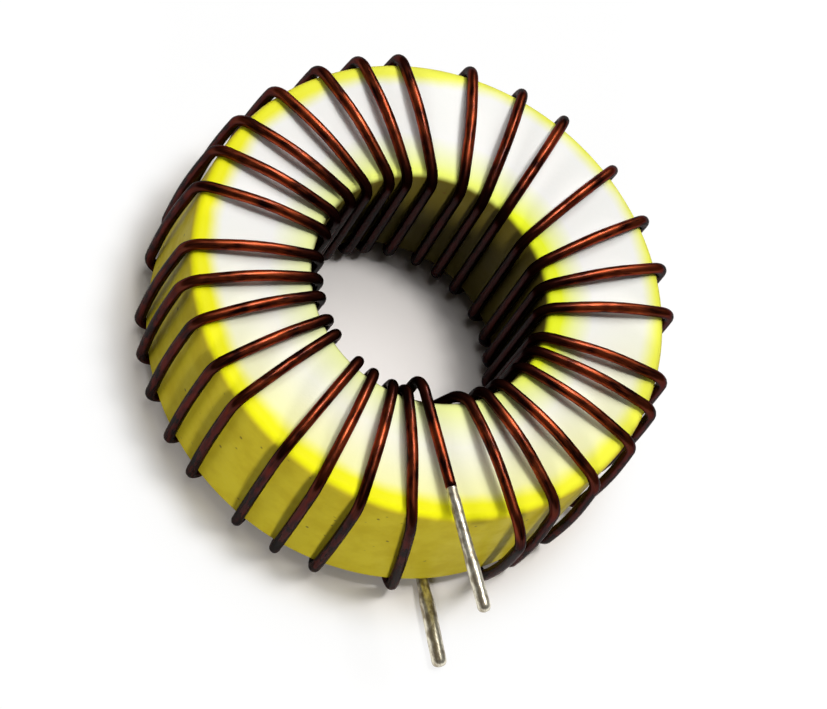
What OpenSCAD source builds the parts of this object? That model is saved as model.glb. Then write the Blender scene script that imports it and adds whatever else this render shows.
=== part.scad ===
// Toroidal inductor: a painted iron powder ring wound by hand with one length of enamelled copper wire.
// Millimetres, +Z up. The origin is on the ring's axis, in the plane that the lowest turns rest on.

/* [Core] */
// Outer diameter of the painted ring
core_od = 33; // [31:0.5:36]
// Diameter of the ring's hole
core_id = 16.3; // [15.5:0.1:17.5]
// Height of the ring
core_h = 11.1; // [9:0.1:14]
// Rounding of the ring's edges
core_edge = 0.6; // [0.4:0.1:1]

/* [Wire] */
// Diameter of the wire over its enamel
wire_d = 0.75; // [0.6:0.05:0.8]
// Thickness of the enamel
enamel = 0.03; // [0.02:0.01:0.06]

/* [Winding] */
// Times that the wire passes through the hole
turns = 30; // [16:1:30]
// Where the first turn enters the top face, in degrees
first_angle = 321; // [316:0.5:326]
// Arc from the first turn to the last, in degrees
wound_angle = 336.5; // [325:0.5:338]
// Gap between the wire and the faces that it lies along
seat_gap = 0.1; // [0.05:0.05:0.2]
// Rise of a turn at the middle of the top face
top_bow = 0.45; // [0.1:0.05:0.8]
// Sag of a turn at the middle of the bottom face
bottom_bow = 0.2; // [0.1:0.05:0.4]
// Swell of a turn at the middle of the outside
outer_bow = 0.2; // [0.05:0.05:0.4]
// Slant of a turn inside the hole, in degrees
inner_slant = 4; // [2:1:5]
// Slant of a turn down the outside, in degrees
outer_slant = 1.5; // [0:0.5:3]

/* [Leads] */
// Heading of the lead that leaves over the top face, in degrees
top_lead_heading = 317.8; // [312:0.1:322]
// Climb of that lead, in degrees
top_lead_climb = 4; // [2:1:8]
// Length of that lead from the hole to its tip
top_lead_length = 17; // [14:0.1:22]
// Distance that the top lead's bend stands off its seat in the hole
top_lead_stand_off = 0.9; // [0.2:0.1:1.2]
// Heading of the lead that leaves under the ring, in degrees
bottom_lead_heading = 316; // [313:0.5:317]
// Distance of that lead's tip from the ring's axis
bottom_lead_reach = 22.4; // [20:0.1:28]
// Length of each lead that is stripped and dipped in solder
tinned_length = 8.8; // [6:0.1:9]
// Thickness of the solder at the tip of the lead over the ring
top_solder = 0.09; // [0.06:0.01:0.12]
// Length of that lead with solder of this thickness
top_thick_length = 3.2; // [2:0.1:5]
// Thickness of the solder on the lead under the ring, where it stands clear of the ring
bottom_solder = 0.16; // [0.1:0.01:0.2]

/* [Hidden] */
$fn = 96;

// How the hand left the turns, in the order that they were wound
turn_gaps = [
    9.5, 10.5, 15, 11, 8.5, 15, 12, 11.5, 14, 16.5, 12, 12, 15, 13, 9.5,
    13, 11, 12.5, 11, 14, 11.5, 9, 12, 8, 17, 9, 10.5, 6.5, 6.5
];
turn_leans = [
    2, 4, 5.5, 4, 3.5, 3.5, 5.5, 5, 6, 6, 5.5, 5, 6, 8.5, 5.5,
    6.5, 6, 7, 4.5, 4, 5.5, 3, 3.5, 2.5, 4, 2, 3.5, 3, 8.5
];
stand_offs = [
    1.9, 0.2, 0.1, 0, 0, 0, 0, 0, 0.1, 0.2, 0.3, 0.1, 0.1, 0, 0,
    0, 0, 0, 0, 0, 0, 0.3, 0.1, 0, 0.1, 0.3, 0.5, 0.3, 0.4
];
// The first turns are the loosest, and each next one keeps this share of what is left
loose_share = 0.3;
first_rise = 0.8;
first_slant = 6;
last_slant = 8.4;

// The first turn leans back to its lead until it is this near to the top face
first_sweep = 14;
first_sweep_depth = 3.6;
first_sweep_bend = 3;
// A leg that leans so clears the ring's edge with a bend this many times rounder
first_roundness = 1.3;
// The last pass leans back by this much less at its bend into the top lead
top_lead_back = 1;

wire_r = wire_d / 2;
copper_r = wire_r - enamel;
seat = wire_r + seat_gap;
low_z = wire_r + bottom_bow;
core_z = low_z + seat;
high_z = core_z + core_h + seat;
inner_r = core_id / 2 - seat;
outer_r = core_od / 2 + seat;
// The sharpest part of a bend keeps this share of the room that it has at the ring's edge
bend_share = 0.7;
bend_limit = 1.9;

wire_sides = 8;
bend_steps = 4;
top_bow_steps = 3;
side_bow_steps = 2;

solder_fit = 0.005;
solder_tip = 0.3;
// Beside the enamel the solder keeps this share of its thickness, and thickens over the slope
thin_share = 0.4;
solder_slope = 1.2;
tip_round = 0.35;
// The solder under the ring has its full thickness from this far outside the ring
ring_to_thick = 1.5;
bottom_thick_length = bottom_lead_reach - core_od / 2 - ring_to_thick;

function unit(v) = v / norm(v);
function at(r, angle, z) = [r * cos(angle), r * sin(angle), z];
function total(list, count) = count == 0 ? 0 : list[count - 1] + total(list, count - 1);

function loose(k) = pow(loose_share, k);
function pass_angle(k) = first_angle + wound_angle * total(turn_gaps, k) / total(turn_gaps, turns - 1);
function stand_off(k) = stand_offs[k] + seat_gap;
function rise(k) = first_rise * loose(k);
function slant(k) = k == turns - 2 ? last_slant : outer_slant + first_slant * loose(k);

// The roundest bend that still clears the ring's edge, with so much room across it and above it
function bend(across, above) =
    min(bend_limit, core_edge + wire_r + bend_share * (across + above + sqrt(2 * across * above)));
tight_bend = bend(seat_gap, seat_gap);

// A corner of the route: where it is, how round it is, and the bow of the run that follows it
function corner(point, round, bow = [0, 0, 0]) = [point, round, bow];

// The way up through the hole. The first turn comes from its lead and leans over under the top face.
function up_corners(k) = concat(
    [k == 0 ? corner(at(inner_r, bottom_lead_heading, low_z), tight_bend)
        : corner(at(inner_r, pass_angle(k) - inner_slant, low_z), tight_bend)],
    k > 0 ? []
        : [corner(at(inner_r, first_angle - first_sweep, high_z - first_sweep_depth), first_sweep_bend)],
    [corner(at(inner_r, pass_angle(k), high_z), tight_bend * (k == 0 ? first_roundness : 1), [0, 0, top_bow])]
);

// The way down the outside, after the run over the top face
function down_corners(k) =
    let(
        outside = pass_angle(k) + turn_leans[k],
        shoulder = at(outer_r + stand_offs[k], outside, high_z + rise(k)),
        swell = at(outer_bow, outside + slant(k) / 2, 0)
    )
    [
        corner(shoulder, bend(stand_off(k), seat_gap + rise(k)), swell),
        corner(at(outer_r, outside + slant(k), low_z), tight_bend, [0, 0, -bottom_bow])
    ];

top_lead_way = [
    cos(top_lead_climb) * cos(top_lead_heading),
    cos(top_lead_climb) * sin(top_lead_heading),
    sin(top_lead_climb)
];
bottom_lead_way = at(1, bottom_lead_heading, 0);

top_lead_start = at(inner_r - top_lead_stand_off, pass_angle(turns - 1) - top_lead_back, high_z);
top_lead_tip = top_lead_start + top_lead_length * top_lead_way;
bottom_lead_tip = at(bottom_lead_reach, bottom_lead_heading, low_z);
top_strip = top_lead_tip - tinned_length * top_lead_way;
bottom_strip = bottom_lead_tip - tinned_length * bottom_lead_way;

route = concat(
    [corner(bottom_strip, 0)],
    [for (k = [0:turns - 2]) each concat(up_corners(k), down_corners(k))],
    [up_corners(turns - 1)[0], corner(top_lead_start, tight_bend), corner(top_strip, 0)]
);

// The points of a bend at b, between the runs to a and to c
function bend_points(a, b, c, round) =
    let(
        back = unit(a - b),
        on = unit(c - b),
        half = acos(back * on) / 2,
        centre = b + unit(back + on) * round / sin(half),
        from = unit(b + back * round / tan(half) - centre),
        to = unit(b + on * round / tan(half) - centre),
        sweep = 180 - 2 * half
    )
    [for (i = [0:bend_steps]) let(part = i / bend_steps)
        centre + round * (sin((1 - part) * sweep) * from + sin(part * sweep) * to) / sin(sweep)];

// The points of a run that bows out between its ends
function bow_points(from, to, bow) =
    let(steps = bow[2] > 0 ? top_bow_steps : side_bow_steps)
    norm(bow) == 0 ? [] : [for (i = [1:steps - 1]) let(part = i / steps)
        from + (to - from) * part + bow * sin(180 * part)];

last_corner = len(route) - 1;
bends = [for (i = [0:last_corner])
    i == 0 || i == last_corner ? [route[i][0]]
        : bend_points(route[i - 1][0], route[i][0], route[i + 1][0], route[i][1])];
enamelled = [for (i = [0:last_corner]) each
    i == last_corner ? bends[i]
        : concat(bends[i], bow_points(bends[i][len(bends[i]) - 1], bends[i + 1][0], route[i][2]))];

// The whole wire: its bare ends stand inside the solder
bottom_bare_end = bottom_lead_tip - solder_tip * bottom_lead_way;
top_bare_end = top_lead_tip - solder_tip * top_lead_way;
wire_points = concat([bottom_bare_end, bottom_strip], enamelled, [top_strip, top_bare_end]);
last_point = len(wire_points) - 1;
function is_bare(i) = i < 2 || i > last_point - 2;
function radius_at(i) = is_bare(i) ? copper_r : wire_r;

// A ring of points square to the wire, turned so that its first point looks round the ring's axis
function ring_points(i) =
    let(
        p = wire_points[i],
        along = unit(wire_points[min(i + 1, last_point)] - wire_points[max(i - 1, 0)]),
        round_axis = [-p[1], p[0], 0],
        side = unit(round_axis - (round_axis * along) * along),
        other = cross(along, side)
    )
    [for (s = [0:wire_sides - 1]) let(turn = 360 * s / wire_sides)
        p + radius_at(i) * (cos(turn) * side + sin(turn) * other)];

module sweep_wire() {
    sides = wire_sides;
    points = [for (i = [0:last_point]) each ring_points(i)];
    walls = [for (i = [0:last_point - 1], s = [0:sides - 1]) let(
            a = i * sides + s,
            b = i * sides + (s + 1) % sides
        ) each [[a, b + sides, b], [a, a + sides, b + sides]]];
    start_cap = [for (s = [0:sides - 1]) s];
    end_cap = [for (s = [sides - 1:-1:0]) last_point * sides + s];
    polyhedron(points, concat([start_cap], walls, [end_cap]), convexity = 10);
}

module rounded_box(size, round) {
    translate([round, 0])
        square([size[0] - 2 * round, size[1]]);
    translate([0, round])
        square([size[0], size[1] - 2 * round]);
    for (x = [round, size[0] - round], y = [round, size[1] - round])
        translate([x, y])
            circle(round);
}

module core() {
    color("gold")
        rotate_extrude()
            translate([core_id / 2, core_z])
                rounded_box([(core_od - core_id) / 2, core_h], core_edge);
}

module winding() {
    color("saddlebrown")
        sweep_wire();
}

// Half the section of a solder coat: a blind sleeve on the bare wire, thin at first, with a rounded tip
module solder_section(thickness, thick_length) {
    bore = copper_r + solder_fit;
    thin = copper_r + thin_share * thickness;
    full = copper_r + thickness;
    shoulder = tinned_length - thick_length;
    difference() {
        union() {
            polygon([
                [0, 0],
                [thin, 0],
                [thin, shoulder - solder_slope],
                [full, shoulder],
                [full, tinned_length - tip_round],
                [full - tip_round, tinned_length],
                [0, tinned_length]
            ]);
            intersection() {
                translate([full - tip_round, tinned_length - tip_round])
                    circle(tip_round);
                square([full, tinned_length]);
            }
        }
        square([bore, tinned_length - solder_tip + solder_fit]);
    }
}

module solder_coat(from, heading, climb, thickness, thick_length) {
    color("silver")
        translate(from)
            rotate([0, 90 - climb, heading])
                rotate_extrude()
                    solder_section(thickness, thick_length);
}

module top_lead_solder() {
    solder_coat(top_strip, top_lead_heading, top_lead_climb, top_solder, top_thick_length);
}

module bottom_lead_solder() {
    solder_coat(bottom_strip, bottom_lead_heading, 0, bottom_solder, bottom_thick_length);
}

core();
winding();
top_lead_solder();
bottom_lead_solder();
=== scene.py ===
# Toroidal inductor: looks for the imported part. Sizes in the dictionaries are millimetres and degrees.
import math

import bmesh
import bpy
from mathutils import Matrix, Vector


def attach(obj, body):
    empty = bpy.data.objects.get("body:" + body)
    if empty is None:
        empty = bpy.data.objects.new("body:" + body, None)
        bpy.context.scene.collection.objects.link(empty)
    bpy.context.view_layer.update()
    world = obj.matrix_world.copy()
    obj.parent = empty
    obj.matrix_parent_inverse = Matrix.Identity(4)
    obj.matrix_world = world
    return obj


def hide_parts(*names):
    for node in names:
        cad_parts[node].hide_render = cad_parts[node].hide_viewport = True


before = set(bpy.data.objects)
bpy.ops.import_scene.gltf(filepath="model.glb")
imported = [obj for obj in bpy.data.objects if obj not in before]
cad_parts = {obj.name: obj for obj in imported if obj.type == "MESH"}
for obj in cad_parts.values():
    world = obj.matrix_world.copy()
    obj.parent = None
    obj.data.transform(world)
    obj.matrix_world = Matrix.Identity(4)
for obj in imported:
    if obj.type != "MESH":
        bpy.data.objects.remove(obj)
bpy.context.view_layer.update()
mm = 0.001
print("frame loaded")


# helpers shared by the pieces

def deselectAll():
    if bpy.context.object and bpy.context.object.mode != "OBJECT":
        bpy.ops.object.mode_set(mode="OBJECT")
    bpy.ops.object.select_all(action="DESELECT")


def polar(radius, angle, height):
    turn = math.radians(angle)
    return Vector((radius * math.cos(turn), radius * math.sin(turn), height))


def addNode(tree, kind, place, **settings):
    node = tree.nodes.new(kind)
    node.location = place
    for name, value in settings.items():
        setattr(node, name, value)
    return node


def mathNode(tree, operation, first, second, place, clamp=False):
    node = addNode(tree, "ShaderNodeMath", place, operation=operation, use_clamp=clamp)
    for socket, value in zip(node.inputs, (first, second)):
        if isinstance(value, (int, float)):
            socket.default_value = value
        else:
            tree.links.new(value, socket)
    return node.outputs[0]


def rangeNode(tree, value, low, high, newLow, newHigh, place, smooth=True):
    node = addNode(tree, "ShaderNodeMapRange", place, interpolation_type="SMOOTHSTEP" if smooth else "LINEAR")
    tree.links.new(value, node.inputs["Value"])
    for name, number in zip(("From Min", "From Max", "To Min", "To Max"), (low, high, newLow, newHigh)):
        node.inputs[name].default_value = number
    return node.outputs[0]


def noiseNode(tree, vector, noise, place):     # noise: its scale, detail and roughness
    node = addNode(tree, "ShaderNodeTexNoise", place)
    tree.links.new(vector, node.inputs["Vector"])
    for name, number in zip(("Scale", "Detail", "Roughness"), noise):
        node.inputs[name].default_value = number
    return node.outputs["Fac"]


def radiusFrom(tree, spot, middle, place):     # distance from an upright axis, and the way out from it
    centred = addNode(tree, "ShaderNodeMapping", place)
    centred.inputs["Location"].default_value = -middle
    tree.links.new(spot, centred.inputs["Vector"])
    flat = addNode(tree, "ShaderNodeVectorMath", (place[0] + 200, place[1]), operation="MULTIPLY")
    flat.inputs[1].default_value = (1, 1, 0)
    tree.links.new(centred.outputs[0], flat.inputs[0])
    length = addNode(tree, "ShaderNodeVectorMath", (place[0] + 400, place[1]), operation="LENGTH")
    tree.links.new(flat.outputs[0], length.inputs[0])
    return length.outputs["Value"], flat.outputs[0]


def mixColour(tree, factor, first, second, place):
    node = addNode(tree, "ShaderNodeMix", place, data_type="RGBA")
    tree.links.new(factor, node.inputs["Factor"])
    for socket, value in ((node.inputs["A"], first), (node.inputs["B"], second)):
        if isinstance(value, (tuple, list)):
            socket.default_value = (*value, 1)
        else:
            tree.links.new(value, socket)
    return node.outputs["Result"]


def newMaterial(name):
    material = bpy.data.materials.new(name)
    material.use_nodes = True
    tree = material.node_tree
    tree.nodes.clear()
    output = addNode(tree, "ShaderNodeOutputMaterial", (600, 0))
    shader = addNode(tree, "ShaderNodeBsdfPrincipled", (300, 0))
    tree.links.new(shader.outputs[0], output.inputs[0])
    return material, tree, shader


def bumpNode(tree, height, bump, place):       # bump: its strength, and its depth in mm
    strength, depth = bump
    node = addNode(tree, "ShaderNodeBump", place)
    tree.links.new(height, node.inputs["Height"])
    node.inputs["Strength"].default_value = strength
    node.inputs["Distance"].default_value = depth * mm
    return node.outputs["Normal"]


# camera

view = {
    "lookAt": (0, 0, 12.15),      # middle of the ring's top face
    "distance": 322.4,
    "elevation": 58.656,
    "roll": 38.543,
    "aside": 0.0057, "above": -0.01306,   # how far the view looks past that point, as slopes
    "lens": 212.94, "sensor": 36,
    "nearest": 10, "farthest": 10000,
}


def addCamera():
    lift = math.radians(view["elevation"])
    roll = math.radians(view["roll"])
    away = Vector((0, -math.cos(lift), math.sin(lift)))
    ahead = -away
    right = ahead.cross(Vector((0, 0, 1))).normalized()
    up = right.cross(ahead)
    ahead = (ahead + view["aside"] * right + view["above"] * up).normalized()
    right = ahead.cross(up).normalized()
    up = right.cross(ahead)
    rolledRight = math.cos(roll) * right + math.sin(roll) * up
    rolledUp = math.cos(roll) * up - math.sin(roll) * right
    data = bpy.data.cameras.new("camera")
    data.lens = view["lens"]
    data.sensor_width = view["sensor"]
    data.clip_start = view["nearest"] * mm
    data.clip_end = view["farthest"] * mm
    camera = bpy.data.objects.new("camera", data)
    bpy.context.scene.collection.objects.link(camera)
    turn = Matrix((rolledRight, rolledUp, -ahead)).transposed().to_4x4()
    place = (Vector(view["lookAt"]) + view["distance"] * away) * mm
    camera.matrix_world = Matrix.Translation(place) @ turn
    bpy.context.scene.camera = camera


addCamera()
print("camera placed")


# wire: one length, wound by hand

ring = {"outer": 33.0, "inner": 16.3, "height": 11.1, "edge": 0.6}

wire = {
    "diameter": 0.75, "enamel": 0.03, "seatGap": 0.1,
    "topBow": 0.45, "bottomBow": 0.2, "outerBow": 0.2,
    "innerSlant": 4, "outerSlant": 1.5,
    "turns": 30, "firstAngle": 321,
    "gaps": [9.5, 10.5, 15, 11, 8.5, 15, 12, 11.5, 14, 16.5, 12, 12, 15, 13, 9.5,
             13, 11, 12.5, 11, 14, 11.5, 9, 12, 8, 17, 9, 10.5, 6.5, 6.5],
    "leans": [2, 4, 5.5, 4, 3.5, 3.5, 5.5, 5, 6, 6, 5.5, 5, 6, 8.5, 5.5,
              6.5, 6, 7, 4.5, 4, 5.5, 3, 3.5, 2.5, 4, 2, 3.5, 3, 8.5],
    "standOffs": [1.9, 0.2, 0.1, 0, 0, 0, 0, 0, 0.1, 0.2, 0.3, 0.1, 0.1, 0, 0,
                  0, 0, 0, 0, 0, 0, 0.3, 0.1, 0, 0.1, 0.3, 0.5, 0.3, 0.4],
    "looseShare": 0.3, "firstRise": 0.8, "firstSlant": 6, "lastSlant": 8.4,
    "firstSweep": 14, "firstSweepDepth": 3.6, "firstSweepBend": 3, "firstRoundness": 1.3,
    "bendShare": 0.7, "bendLimit": 1.9, "softening": 0.16,
    "sides": 18, "bendSteps": 16, "bowSteps": 14,
    "spacing": 0.12, "mostTurn": 6.5, "mostRun": 0.9,     # how finely the path is cut, then thinned
}

leads = {
    "topHeading": 317.8, "topClimb": 4, "topLength": 17, "topStandOff": 0.9, "topBack": 1,
    "bottomHeading": 316, "bottomReach": 22.4, "tinned": 8.8,
}

wireRadius = wire["diameter"] / 2
seat = wireRadius + wire["seatGap"]
lowZ = wireRadius + wire["bottomBow"]
coreZ = lowZ + seat
highZ = coreZ + ring["height"] + seat
innerR = ring["inner"] / 2 - seat
outerR = ring["outer"] / 2 + seat


def loose(k):                      # the first turn is loose, and the next ones settle
    return wire["looseShare"] ** k


def passAngle(k):
    return wire["firstAngle"] + sum(wire["gaps"][:k])


def rise(k):
    return wire["firstRise"] * loose(k)


def slant(k):
    if k == wire["turns"] - 2:
        return wire["lastSlant"]
    return wire["outerSlant"] + wire["firstSlant"] * loose(k)


def bendRadius(across, above):     # the roundest bend that still clears the ring's edge
    room = across + above + math.sqrt(2 * across * above)
    return min(wire["bendLimit"], ring["edge"] + wireRadius + wire["bendShare"] * room)


tightBend = bendRadius(wire["seatGap"], wire["seatGap"])
still = Vector((0, 0, 0))


# a corner: its place, the radius of its bend, and the bow of the run after it

def upCorners(k):                  # up through the hole
    top = tightBend * (wire["firstRoundness"] if k == 0 else 1)
    arrival = (polar(innerR, passAngle(k), highZ), top, Vector((0, 0, wire["topBow"])))
    if k > 0:
        return [(polar(innerR, passAngle(k) - wire["innerSlant"], lowZ), tightBend, still), arrival]
    sweep = polar(innerR, wire["firstAngle"] - wire["firstSweep"], highZ - wire["firstSweepDepth"])
    return [(polar(innerR, leads["bottomHeading"], lowZ), tightBend, still),
            (sweep, wire["firstSweepBend"], still), arrival]


def downCorners(k):                # over the rim and down outside
    outside = passAngle(k) + wire["leans"][k]
    standOff = wire["standOffs"][k]
    gap = wire["seatGap"]
    shoulder = polar(outerR + standOff, outside, highZ + rise(k))
    swell = polar(wire["outerBow"], outside + slant(k) / 2, 0)
    return [(shoulder, bendRadius(standOff + gap, gap + rise(k)), swell),
            (polar(outerR, outside + slant(k), lowZ), tightBend, Vector((0, 0, -wire["bottomBow"])))]


climb = math.radians(leads["topClimb"])
topWay = polar(math.cos(climb), leads["topHeading"], math.sin(climb))
bottomWay = polar(1, leads["bottomHeading"], 0)
topStart = polar(innerR - leads["topStandOff"], passAngle(wire["turns"] - 1) - leads["topBack"], highZ)
topTip = topStart + leads["topLength"] * topWay
bottomTip = polar(leads["bottomReach"], leads["bottomHeading"], lowZ)
topStrip = topTip - leads["tinned"] * topWay
bottomStrip = bottomTip - leads["tinned"] * bottomWay


def bendPoints(before, corner, after, radius):
    back = (before - corner).normalized()
    onward = (after - corner).normalized()
    half = back.angle(onward) / 2
    centre = corner + (back + onward).normalized() * radius / math.sin(half)
    start = (corner + back * radius / math.tan(half) - centre).normalized()
    end = (corner + onward * radius / math.tan(half) - centre).normalized()
    sweep = math.pi - 2 * half
    parts = [i / wire["bendSteps"] for i in range(wire["bendSteps"] + 1)]
    return [centre + (radius * (math.sin((1 - part) * sweep) * start + math.sin(part * sweep) * end)
                      / math.sin(sweep)) for part in parts]


def wirePath():                    # from the bare end under the ring to the bare end over it
    corners = [(bottomStrip, 0, still)]
    for k in range(wire["turns"] - 1):
        corners += upCorners(k) + downCorners(k)
    corners += [upCorners(wire["turns"] - 1)[0], (topStart, tightBend, still), (topStrip, 0, still)]
    bends = [[corners[0][0]]]
    for i in range(1, len(corners) - 1):
        bends.append(bendPoints(corners[i - 1][0], corners[i][0], corners[i + 1][0], corners[i][1]))
    bends.append([corners[-1][0]])
    points = []
    for i, bend in enumerate(bends):
        points += bend
        if i + 1 < len(bends):
            for step in range(1, wire["bowSteps"]):
                part = step / wire["bowSteps"]
                points.append(bend[-1].lerp(bends[i + 1][0], part) + corners[i][2] * math.sin(math.pi * part))
    return points


def evenly(points, spacing):
    spaced = [points[0]]
    carried = 0.0
    for before, after in zip(points, points[1:]):
        run = (after - before).length
        along = spacing - carried
        while along <= run:
            spaced.append(before.lerp(after, along / run))
            along += spacing
        carried = run - (along - spacing)
    return spaced + [points[-1]]


def softened(points, passes):      # takes the corners off the joins between bends and runs
    for _ in range(passes):
        points = [points[0]] + [
            (points[i - 1] + 2 * points[i] + points[i + 1]) / 4 for i in range(1, len(points) - 1)
        ] + [points[-1]]
    return points


def thinned(points, mostTurn, mostRun):
    kept = [0]
    turned = 0.0
    for i in range(1, len(points) - 1):
        turned += (points[i] - points[i - 1]).angle(points[i + 1] - points[i], 0)
        if turned > mostTurn or (points[i] - points[kept[-1]]).length > mostRun:
            kept.append(i)
            turned = 0.0
    return [points[i] for i in kept] + [points[-1]]


def addTube(name, points, radiusAt, sides):   # swept mesh, u along the wire in mm, v round it
    mesh = bpy.data.meshes.new(name)
    piece = bpy.data.objects.new(name, mesh)
    bpy.context.scene.collection.objects.link(piece)
    built = bmesh.new()
    uvs = built.loops.layers.uv.new("alongWire")
    turns = [2 * math.pi * s / sides for s in range(sides)]
    rings = []
    length = 0.0
    lengths = []
    for i, point in enumerate(points):
        along = (points[min(i + 1, len(points) - 1)] - points[max(i - 1, 0)]).normalized()
        roundAxis = Vector((-point.y, point.x, 0))
        side = (roundAxis - roundAxis.dot(along) * along).normalized()
        other = along.cross(side)
        length += (point - points[i - 1]).length if i else 0
        lengths.append(length)
        radius = radiusAt(length)
        spots = [point + radius * (math.cos(turn) * side + math.sin(turn) * other) for turn in turns]
        rings.append([built.verts.new(spot * mm) for spot in spots])
    for i in range(len(rings) - 1):
        for s in range(sides):
            t = (s + 1) % sides
            face = built.faces.new((rings[i][s], rings[i][t], rings[i + 1][t], rings[i + 1][s]))
            face.smooth = True
            corners = ((lengths[i], s), (lengths[i], s + 1), (lengths[i + 1], s + 1), (lengths[i + 1], s))
            for loop, (u, v) in zip(face.loops, corners):
                loop[uvs].uv = (u, v / sides)
    built.faces.new(rings[0][::-1])
    built.faces.new(rings[-1])
    bmesh.ops.recalc_face_normals(built, faces=built.faces)
    built.to_mesh(mesh)
    built.free()
    return piece


def addWoundWire():
    spacing = wire["spacing"]
    dense = evenly(wirePath(), spacing)
    passes = max(1, round(2 * (wire["softening"] / spacing) ** 2))
    path = thinned(softened(dense, passes), math.radians(wire["mostTurn"]), wire["mostRun"])
    return addTube("woundWire", path, lambda length: wireRadius, wire["sides"])


woundWire = addWoundWire()
print("wire wound:", len(woundWire.data.polygons), "faces")


# look of the wire

enamelLook = {
    "deep": (0.024, 0.005, 0.004), "warm": (0.43, 0.078, 0.025), "grazing": (0.20, 0.07, 0.055),
    "metallic": 0.95, "coat": 0.12, "coatRoughness": 0.16,
    "streaks": (0.35, 6, 1), "streakNoise": (1.6, 4, 0.6),      # both drawn out along the wire
    "patches": (0.30, 0.8, 1), "patchNoise": (1.5, 2, 0.6),
    "deepUpTo": 0.38, "warmFrom": 0.60,
    "legShadeShare": 0.40, "legEnd": 12.35, "topStart": 12.98,       # painted shade: the legs are darker and the top runs lighter, and the bends at both rims darker too
    "holeBendShadeShare": 0.14, "holeBend": 8.7, "holeBendEnd": 11.0,    # and on the bends at both rims
    "rimBendShadeShare": 0.48, "rimBend": 14.0, "rimBendEnd": 15.9,
    "sheenFrom": (0.3, 0.7), "roughness": (0.28, 0.42), "bump": (0.3, 0.04),
}


def stretchedNoise(tree, uv, stretch, noise, place):
    stretched = addNode(tree, "ShaderNodeMapping", place)
    stretched.inputs["Scale"].default_value = stretch
    tree.links.new(uv.outputs[0], stretched.inputs["Vector"])
    return noiseNode(tree, stretched.outputs[0], noise, (place[0] + 200, place[1]))


def enamelledCopper():
    look = enamelLook
    material, tree, shader = newMaterial("enamelledCopper")
    uv = addNode(tree, "ShaderNodeUVMap", (-1700, 0), uv_map="alongWire")
    streaks = stretchedNoise(tree, uv, look["streaks"], look["streakNoise"], (-1500, 0))
    patches = stretchedNoise(tree, uv, look["patches"], look["patchNoise"], (-1500, -400))
    tone = mathNode(tree, "ADD", mathNode(tree, "MULTIPLY", streaks, 0.5, (-1100, 100)),
                    mathNode(tree, "MULTIPLY", patches, 0.5, (-1100, -100)), (-900, 0))
    warmth = rangeNode(tree, tone, look["deepUpTo"], look["warmFrom"], 0, 1, (-700, 100))
    coords = addNode(tree, "ShaderNodeTexCoord", (-1700, -700))
    split = addNode(tree, "ShaderNodeSeparateXYZ", (-1500, -700))
    tree.links.new(coords.outputs["Object"], split.inputs[0])
    # painted shade: less of the warm colour on the legs and on the bends at both rims, more on the top runs
    height = rangeNode(tree, split.outputs["Z"], look["legEnd"] * mm, look["topStart"] * mm,
                       look["legShadeShare"], 1, (-1300, -700))
    radius, _ = radiusFrom(tree, coords.outputs["Object"], still, (-1500, -1000))
    holeBendShade = rangeNode(tree, radius, look["holeBend"] * mm, look["holeBendEnd"] * mm,
                         look["holeBendShadeShare"], 1, (-900, -900))
    nearRim = rangeNode(tree, radius, look["rimBend"] * mm, look["rimBendEnd"] * mm,
                        1, look["rimBendShadeShare"], (-900, -1100))
    bends = mathNode(tree, "MULTIPLY", holeBendShade, nearRim, (-700, -1000))
    along = mathNode(tree, "MULTIPLY", height, bends, (-500, -800))
    share = mathNode(tree, "MULTIPLY", warmth, along, (-500, 0))
    body = mixColour(tree, share, look["deep"], look["warm"], (-250, 100))
    rough = rangeNode(tree, streaks, *look["sheenFrom"], *look["roughness"], (-500, -200))
    shader.inputs["Metallic"].default_value = look["metallic"]
    shader.inputs["Specular Tint"].default_value = (*look["grazing"], 1)
    shader.inputs["Coat Weight"].default_value = look["coat"]
    shader.inputs["Coat Roughness"].default_value = look["coatRoughness"]
    tree.links.new(body, shader.inputs["Base Color"])
    tree.links.new(rough, shader.inputs["Roughness"])
    tree.links.new(bumpNode(tree, streaks, look["bump"], (-250, -300)), shader.inputs["Normal"])
    return material


woundWire.data.materials.append(enamelledCopper())
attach(woundWire, "root")
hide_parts("winding")


# core: turned section, spun round the axis

core = {
    "edgeSegments": 6, "spinSteps": 180, "smoothAngle": 35, "mergeWithin": 0.001,
    # the inside-wall colour is painted shade: the hole's wall is darker than the outside
    "side": (0.78, 0.64, 0.032), "insideWallShade": (0.17, 0.13, 0.018), "speck": (0.16, 0.09, 0.02),
    "nearRim": (0.90, 0.865, 0.008), "farRim": (0.91, 0.92, 0.10),
    "white": (0.92, 0.92, 0.885), "cream": (0.92, 0.91, 0.42), "lemon": (0.84, 0.92, 0.02),
    "whiteShift": 0.15, "whiteHeading": 75,          # the sprayed white lies a little off the middle
    "whiteEdge": 15.17, "whiteSoftness": 0.6, "whiteBulge": 0.5,
    "wander": (150, 3, 0.6), "wanderWidth": 1.3,     # and its edges wander
    "creamStart": 10.5, "creamEnd": 15.6, "leastCream": 0.22,
    "lemonStart": 8.6, "lemonEnd": 11.3, "lemonAllRound": 0.52, "lemonBroad": 0.30, "lemonNarrow": 0.42,
    # each side: its heading, and the two cosines to it between which its share grows
    "bulgeSide": (84, 0.75, 1), "creamSide": (305, -0.3, 0.9), "rimSide": (75, -0.6, 0.9),
    "broadSide": (75, -0.9, 0.5), "narrowSide": (40, 0.55, 1),
    "topFade": (0.45, 0.05), "holeFade": (0.2, 1.2),
    "blotch": (420, 4, 0.6), "blotchRange": (0.35, 0.7), "blotchShade": (0.88, 0.84, 0.8),
    "pitScale": 900, "pitRange": (0.05, 0.15), "pitShare": 0.8,
    "rare": (1300, 1, 0.5), "rareRange": (0.47, 0.56),          # only few of the pits are kept
    "specular": 0.06, "sheenFrom": (0.3, 0.7), "roughness": (0.42, 0.55),
    "grain": (1500, 4, 0.65), "bump": (0.35, 0.08),
}


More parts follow.
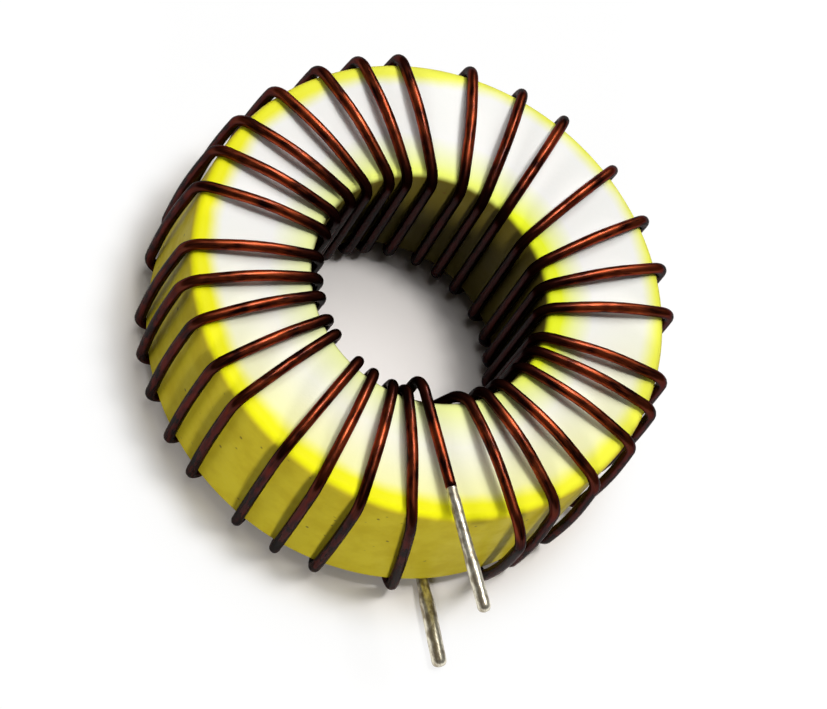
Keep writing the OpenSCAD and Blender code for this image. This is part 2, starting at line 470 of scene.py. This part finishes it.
def addCoreRing():
    deselectAll()
    inner, outer = ring["inner"] / 2 * mm, ring["outer"] / 2 * mm
    low, high = coreZ * mm, (coreZ + ring["height"]) * mm
    bpy.ops.mesh.primitive_plane_add(size=1, location=((inner + outer) / 2, 0, (low + high) / 2),
                                     rotation=(math.pi / 2, 0, 0))
    piece = bpy.context.object
    piece.name = "paintedCore"
    piece.scale = (outer - inner, high - low, 1)
    bpy.ops.object.transform_apply(location=True, rotation=True, scale=True)
    bpy.ops.object.mode_set(mode="EDIT")
    bpy.ops.mesh.select_all(action="SELECT")
    bpy.ops.mesh.bevel(offset=ring["edge"] * mm, offset_type="OFFSET", segments=core["edgeSegments"],
                       affect="VERTICES")
    bpy.ops.mesh.select_all(action="SELECT")
    bpy.ops.mesh.delete(type="ONLY_FACE")
    bpy.ops.mesh.select_all(action="SELECT")
    bpy.ops.mesh.spin(steps=core["spinSteps"], angle=2 * math.pi, center=(0, 0, 0), axis=(0, 0, 1))
    bpy.ops.mesh.select_all(action="SELECT")
    bpy.ops.mesh.remove_doubles(threshold=core["mergeWithin"] * mm)
    bpy.ops.mesh.normals_make_consistent(inside=False)
    bpy.ops.object.mode_set(mode="OBJECT")
    bpy.ops.object.shade_smooth_by_angle(angle=math.radians(core["smoothAngle"]))
    return piece


def facingShare(tree, outward, side, place):       # 0 to 1 as the spot turns to the side
    heading, low, high = core[side]
    turned = addNode(tree, "ShaderNodeVectorMath", place, operation="DOT_PRODUCT")
    turned.inputs[1].default_value = polar(1, heading, 0)
    tree.links.new(outward, turned.inputs[0])
    return rangeNode(tree, turned.outputs["Value"], low, high, 0, 1, (place[0] + 200, place[1]))


def topPaint(tree, spot):              # sprayed white over yellow, thin and yellowish towards both rims
    radius, flat = radiusFrom(tree, spot, still, (-2400, 600))
    outward = addNode(tree, "ShaderNodeVectorMath", (-1800, 700), operation="NORMALIZE")
    tree.links.new(flat, outward.inputs[0])
    outward = outward.outputs[0]

    wander = noiseNode(tree, spot, core["wander"], (-2000, 300))
    drift = mathNode(tree, "MULTIPLY", mathNode(tree, "SUBTRACT", wander, 0.5, (-1800, 300)),
                     core["wanderWidth"] * mm, (-1600, 300))
    sprayMiddle = polar(core["whiteShift"] * mm, core["whiteHeading"], 0)
    shifted, _ = radiusFrom(tree, spot, sprayMiddle, (-2400, 1000))
    bulge = mathNode(tree, "MULTIPLY", facingShare(tree, outward, "bulgeSide", (-2000, 1500)),
                     core["whiteBulge"] * mm, (-1600, 1500))
    reach = mathNode(tree, "ADD", shifted, drift, (-1600, 900))
    reach = mathNode(tree, "SUBTRACT", reach, bulge, (-1400, 900))
    near = mathNode(tree, "ADD", radius, drift, (-1400, 500))

    creamRing = rangeNode(tree, reach, core["creamStart"] * mm, core["creamEnd"] * mm,
                          core["leastCream"], 1, (-1100, 900))
    cream = mathNode(tree, "MULTIPLY", creamRing, facingShare(tree, outward, "creamSide", (-1300, 1200)),
                     (-900, 1000))

    broad = mathNode(tree, "MULTIPLY", facingShare(tree, outward, "broadSide", (-1500, 100)),
                     core["lemonBroad"], (-1100, 100))
    narrow = mathNode(tree, "MULTIPLY", facingShare(tree, outward, "narrowSide", (-1500, -50)),
                      core["lemonNarrow"], (-1100, -50))
    facing = mathNode(tree, "ADD", mathNode(tree, "ADD", broad, narrow, (-950, 0)),
                      core["lemonAllRound"], (-800, 100))
    lemonRing = rangeNode(tree, near, core["lemonStart"] * mm, core["lemonEnd"] * mm, 1, 0, (-1100, 600),
                          smooth=False)
    lemon = mathNode(tree, "MULTIPLY", facing, lemonRing, (-650, 500), clamp=True)

    edge, softness = core["whiteEdge"], core["whiteSoftness"]
    yellow = rangeNode(tree, reach, (edge - softness) * mm, (edge + softness) * mm, 0, 1, (-900, 1200))
    farSide = facingShare(tree, outward, "rimSide", (-1500, -100))
    rim = mixColour(tree, farSide, core["nearRim"], core["farRim"], (-900, 100))
    white = mixColour(tree, cream, core["white"], core["cream"], (-700, 1000))
    white = mixColour(tree, lemon, white, core["lemon"], (-500, 800))
    return mixColour(tree, yellow, white, rim, (-300, 700)), radius


def paintedPowder():
    material, tree, shader = newMaterial("paintedPowder")
    coords = addNode(tree, "ShaderNodeTexCoord", (-2700, 0))
    spot = coords.outputs["Object"]
    top, radius = topPaint(tree, spot)

    blotch = noiseNode(tree, spot, core["blotch"], (-1100, -500))
    shaded = tuple(tone * share for tone, share in zip(core["side"], core["blotchShade"]))
    side = mixColour(tree, rangeNode(tree, blotch, *core["blotchRange"], 0, 1, (-850, -450)),
                     core["side"], shaded, (-600, -400))
    # painted shade: towards the hole the wall takes a darker colour than the outside wall
    holeStart, holeEnd = ((ring["inner"] / 2 + fade) * mm for fade in core["holeFade"])
    inHoleShade = rangeNode(tree, radius, holeStart, holeEnd, 1, 0, (-850, -700))
    side = mixColour(tree, inHoleShade, side, core["insideWallShade"], (-400, -450))

    pits = addNode(tree, "ShaderNodeTexVoronoi", (-1100, -850), feature="F1")
    pits.inputs["Scale"].default_value = core["pitScale"]
    tree.links.new(spot, pits.inputs["Vector"])
    rare = noiseNode(tree, spot, core["rare"], (-1100, -1100))
    inPit = rangeNode(tree, pits.outputs["Distance"], *core["pitRange"], 1, 0, (-850, -850))
    keptPits = rangeNode(tree, rare, *core["rareRange"], 0, core["pitShare"], (-850, -1100))
    pit = mathNode(tree, "MULTIPLY", inPit, keptPits, (-650, -950))
    side = mixColour(tree, pit, side, core["speck"], (-200, -500))

    split = addNode(tree, "ShaderNodeSeparateXYZ", (-1400, -300))
    tree.links.new(spot, split.inputs[0])
    fadeStart, fadeEnd = ((coreZ + ring["height"]) * mm - fade * mm for fade in core["topFade"])
    onTop = rangeNode(tree, split.outputs["Z"], fadeStart, fadeEnd, 0, 1, (-300, 0))
    rough = rangeNode(tree, blotch, *core["sheenFrom"], *core["roughness"], (-300, -250))
    grain = noiseNode(tree, spot, core["grain"], (-600, -700))
    shader.inputs["Specular IOR Level"].default_value = core["specular"]
    tree.links.new(mixColour(tree, onTop, side, top, (50, 200)), shader.inputs["Base Color"])
    tree.links.new(rough, shader.inputs["Roughness"])
    tree.links.new(bumpNode(tree, grain, core["bump"], (-100, -650)), shader.inputs["Normal"])
    return material


paintedCore = addCoreRing()
paintedCore.data.materials.append(paintedPowder())
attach(paintedCore, "root")
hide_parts("core")
print("core turned:", len(paintedCore.data.polygons), "faces")


# tinned ends

tin = {
    "topThickness": 0.09, "topThickLength": 3.2,
    "bottomThickness": 0.16, "bottomStandOff": 1.5,      # how far off the ring the thick length starts
    "thinShare": 0.4, "slope": 1.2, "tipRound": 0.35,
    "neckDepth": 0.03, "neckLength": 0.9, "pinchDepth": 0.02, "pinchAt": 0.5, "pinchWidth": 0.12,
    "sides": 32, "spacing": 0.06, "tipSteps": 8,
    "bright": (0.88, 0.83, 0.67), "dull": (0.36, 0.30, 0.21), "metallic": 0.85,
    "flow": (0.8, 4, 1), "flowNoise": (1.8, 4, 0.55), "brightRange": (0.35, 0.65),
    "sheenFrom": (0.3, 0.7), "roughness": (0.46, 0.30), "bump": (0.5, 0.08),
}
copperRadius = wireRadius - wire["enamel"]
bottomThickLength = leads["bottomReach"] - ring["outer"] / 2 - tin["bottomStandOff"]


def addTinnedEnd(name, start, way, thickness, thickLength):
    length = leads["tinned"]
    shoulder = length - thickLength
    tipStart = length - tin["tipRound"]

    def radiusAt(along):
        part = min(1, max(0, (along - shoulder + tin["slope"]) / tin["slope"]))
        share = tin["thinShare"] + (1 - tin["thinShare"]) * part * part * (3 - 2 * part)
        past = min(1, max(0, along - tipStart) / tin["tipRound"])
        neck = tin["neckDepth"] * max(0, 1 - along / tin["neckLength"])
        pinch = tin["pinchDepth"] * math.exp(-((along - tin["pinchAt"]) / tin["pinchWidth"]) ** 2)
        tip = tin["tipRound"] * (1 - math.sqrt(1 - past * past))
        return copperRadius + thickness * share - neck - pinch - tip

    plain = round(tipStart / tin["spacing"])
    steps = [tipStart * i / plain for i in range(plain + 1)]
    steps += [tipStart + tin["tipRound"] * math.sin(math.pi / 2 * i / tin["tipSteps"])
              for i in range(1, tin["tipSteps"] + 1)]
    return addTube(name, [start + along * way for along in steps], radiusAt, tin["sides"])


def dippedTin():
    material, tree, shader = newMaterial("dippedTin")
    uv = addNode(tree, "ShaderNodeUVMap", (-1300, 0), uv_map="alongWire")
    flow = stretchedNoise(tree, uv, tin["flow"], tin["flowNoise"], (-1100, 0))
    brightness = rangeNode(tree, flow, *tin["brightRange"], 0, 1, (-600, 100))
    rough = rangeNode(tree, flow, *tin["sheenFrom"], *tin["roughness"], (-600, -100))
    shader.inputs["Metallic"].default_value = tin["metallic"]
    tree.links.new(mixColour(tree, brightness, tin["dull"], tin["bright"], (-300, 100)),
                   shader.inputs["Base Color"])
    tree.links.new(rough, shader.inputs["Roughness"])
    tree.links.new(bumpNode(tree, flow, tin["bump"], (-300, -300)), shader.inputs["Normal"])
    return material


dipped = dippedTin()
for name, node, start, way, thickness, thickLength in (
    ("tinnedTopEnd", "top_lead_solder", topStrip, topWay,
     tin["topThickness"], tin["topThickLength"]),
    ("tinnedBottomEnd", "bottom_lead_solder", bottomStrip, bottomWay,
     tin["bottomThickness"], bottomThickLength),
):
    tinned = addTinnedEnd(name, start, way, thickness, thickLength)
    tinned.data.materials.append(dipped)
    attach(tinned, "root")
    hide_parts(node)
print("ends tinned")


# floor and light

studio = {
    "floorSize": 900, "floorDrop": 0.05, "floorRoughness": 0.9, "floorSpecular": 0.1,
    "floorTone": 0.20,                        # the floor looks white and sends back less light
    # painted shade: the floor is a little darker and warmer under and near the ring; further out it glows
    # white for camera and gloss rays, painted light over the outer part of the ring's shadow
    "underRingShade": (1.0, 0.95, 0.91), "underRingEnd": 16.5, "openFloorStart": 21, "openGlow": 0.85,
    "sky": 0.05, "lampDistance": 600,
    # a lamp that isn't mirrored stays out of the gloss, and one that doesn't light is seen only there
    "lamps": {
        "key": {"towards": (0.175, 0.13, 1.0), "size": 120, "level": 0.385, "mirrored": False},
        "softbox": {"towards": (-0.05, 0.26, 1.0), "size": 480, "level": 0.485, "mirrored": False},
        "sheen": {"towards": (-0.05, 0.26, 1.0), "size": 480, "level": 0.28, "lights": False},
        "highBack": {"towards": (-0.10, 0.40, 1.0), "size": 110, "level": 0.30, "lights": False},
        "lowBack": {"towards": (-0.14, 0.98, 1.0), "size": 80, "level": 0.18, "lights": False},
        "fill": {"towards": (-0.75, -0.53, 0.20), "size": 620, "level": 0.25, "mirrored": False},
        "side": {"towards": (0.46, -0.80, 0.30), "size": 120, "level": 0.42, "mirrored": False},
    },
}


def addFloor():
    deselectAll()
    bpy.ops.mesh.primitive_plane_add(size=studio["floorSize"] * mm,
                                     location=(0, 0, -studio["floorDrop"] * mm))
    floor = bpy.context.object
    floor.name = "floor"
    material, tree, shader = newMaterial("paleFloor")
    rays = addNode(tree, "ShaderNodeLightPath", (-600, 200)).outputs
    seen = mathNode(tree, "MAXIMUM", rays["Is Camera Ray"], rays["Is Glossy Ray"], (-400, 200))
    seen = mathNode(tree, "MAXIMUM", seen, rays["Is Transmission Ray"], (-250, 200))
    coords = addNode(tree, "ShaderNodeTexCoord", (-900, -100))
    radius, _ = radiusFrom(tree, coords.outputs["Object"], still, (-700, -100))
    # near the ring the painted-shade colour, out in the open the glow that paints light over the ring's
    # shadow
    openFloor = rangeNode(tree, radius, studio["underRingEnd"] * mm, studio["openFloorStart"] * mm,
                          0, 1, (-100, -100))
    glow = mathNode(tree, "MULTIPLY", openFloor, studio["openGlow"], (50, -300))
    glow = mathNode(tree, "MULTIPLY", glow, seen, (200, -300))
    pale = mixColour(tree, openFloor, studio["underRingShade"], (1, 1, 1), (50, -100))
    pale = mixColour(tree, glow, pale, (0, 0, 0), (150, -50))
    tone = studio["floorTone"]
    tree.links.new(mixColour(tree, seen, (tone, tone, tone), pale, (150, 100)), shader.inputs["Base Color"])
    tree.links.new(glow, shader.inputs["Emission Strength"])
    shader.inputs["Emission Color"].default_value = (1, 1, 1, 1)
    shader.inputs["Roughness"].default_value = studio["floorRoughness"]
    shader.inputs["Specular IOR Level"].default_value = studio["floorSpecular"]
    floor.data.materials.append(material)


def addLamp(name, plan):           # level 1 lights a facing white surface to white
    data = bpy.data.lights.new(name, "AREA")
    data.shape = "DISK"
    data.size = plan["size"] * mm
    away = studio["lampDistance"] * mm
    data.energy = plan["level"] * math.pi * math.pi * (away * away + data.size * data.size / 4)
    lamp = bpy.data.objects.new(name, data)
    bpy.context.scene.collection.objects.link(lamp)
    way = Vector(plan["towards"]).normalized()
    lamp.location = way * away
    lamp.rotation_mode = "QUATERNION"
    lamp.rotation_quaternion = way.to_track_quat("Z", "Y")
    lamp.visible_glossy = plan.get("mirrored", True)
    lamp.visible_diffuse = plan.get("lights", True)


def addSky():
    world = bpy.data.worlds.new("studio")
    world.use_nodes = True
    sky = world.node_tree.nodes["Background"]
    sky.inputs["Color"].default_value = (1, 1, 1, 1)
    sky.inputs["Strength"].default_value = studio["sky"]
    bpy.context.scene.world = world


addFloor()
for lampName, plan in studio["lamps"].items():
    addLamp(lampName + "Lamp", plan)
addSky()
bpy.context.scene.view_settings.view_transform = "Standard"
print("studio lit")
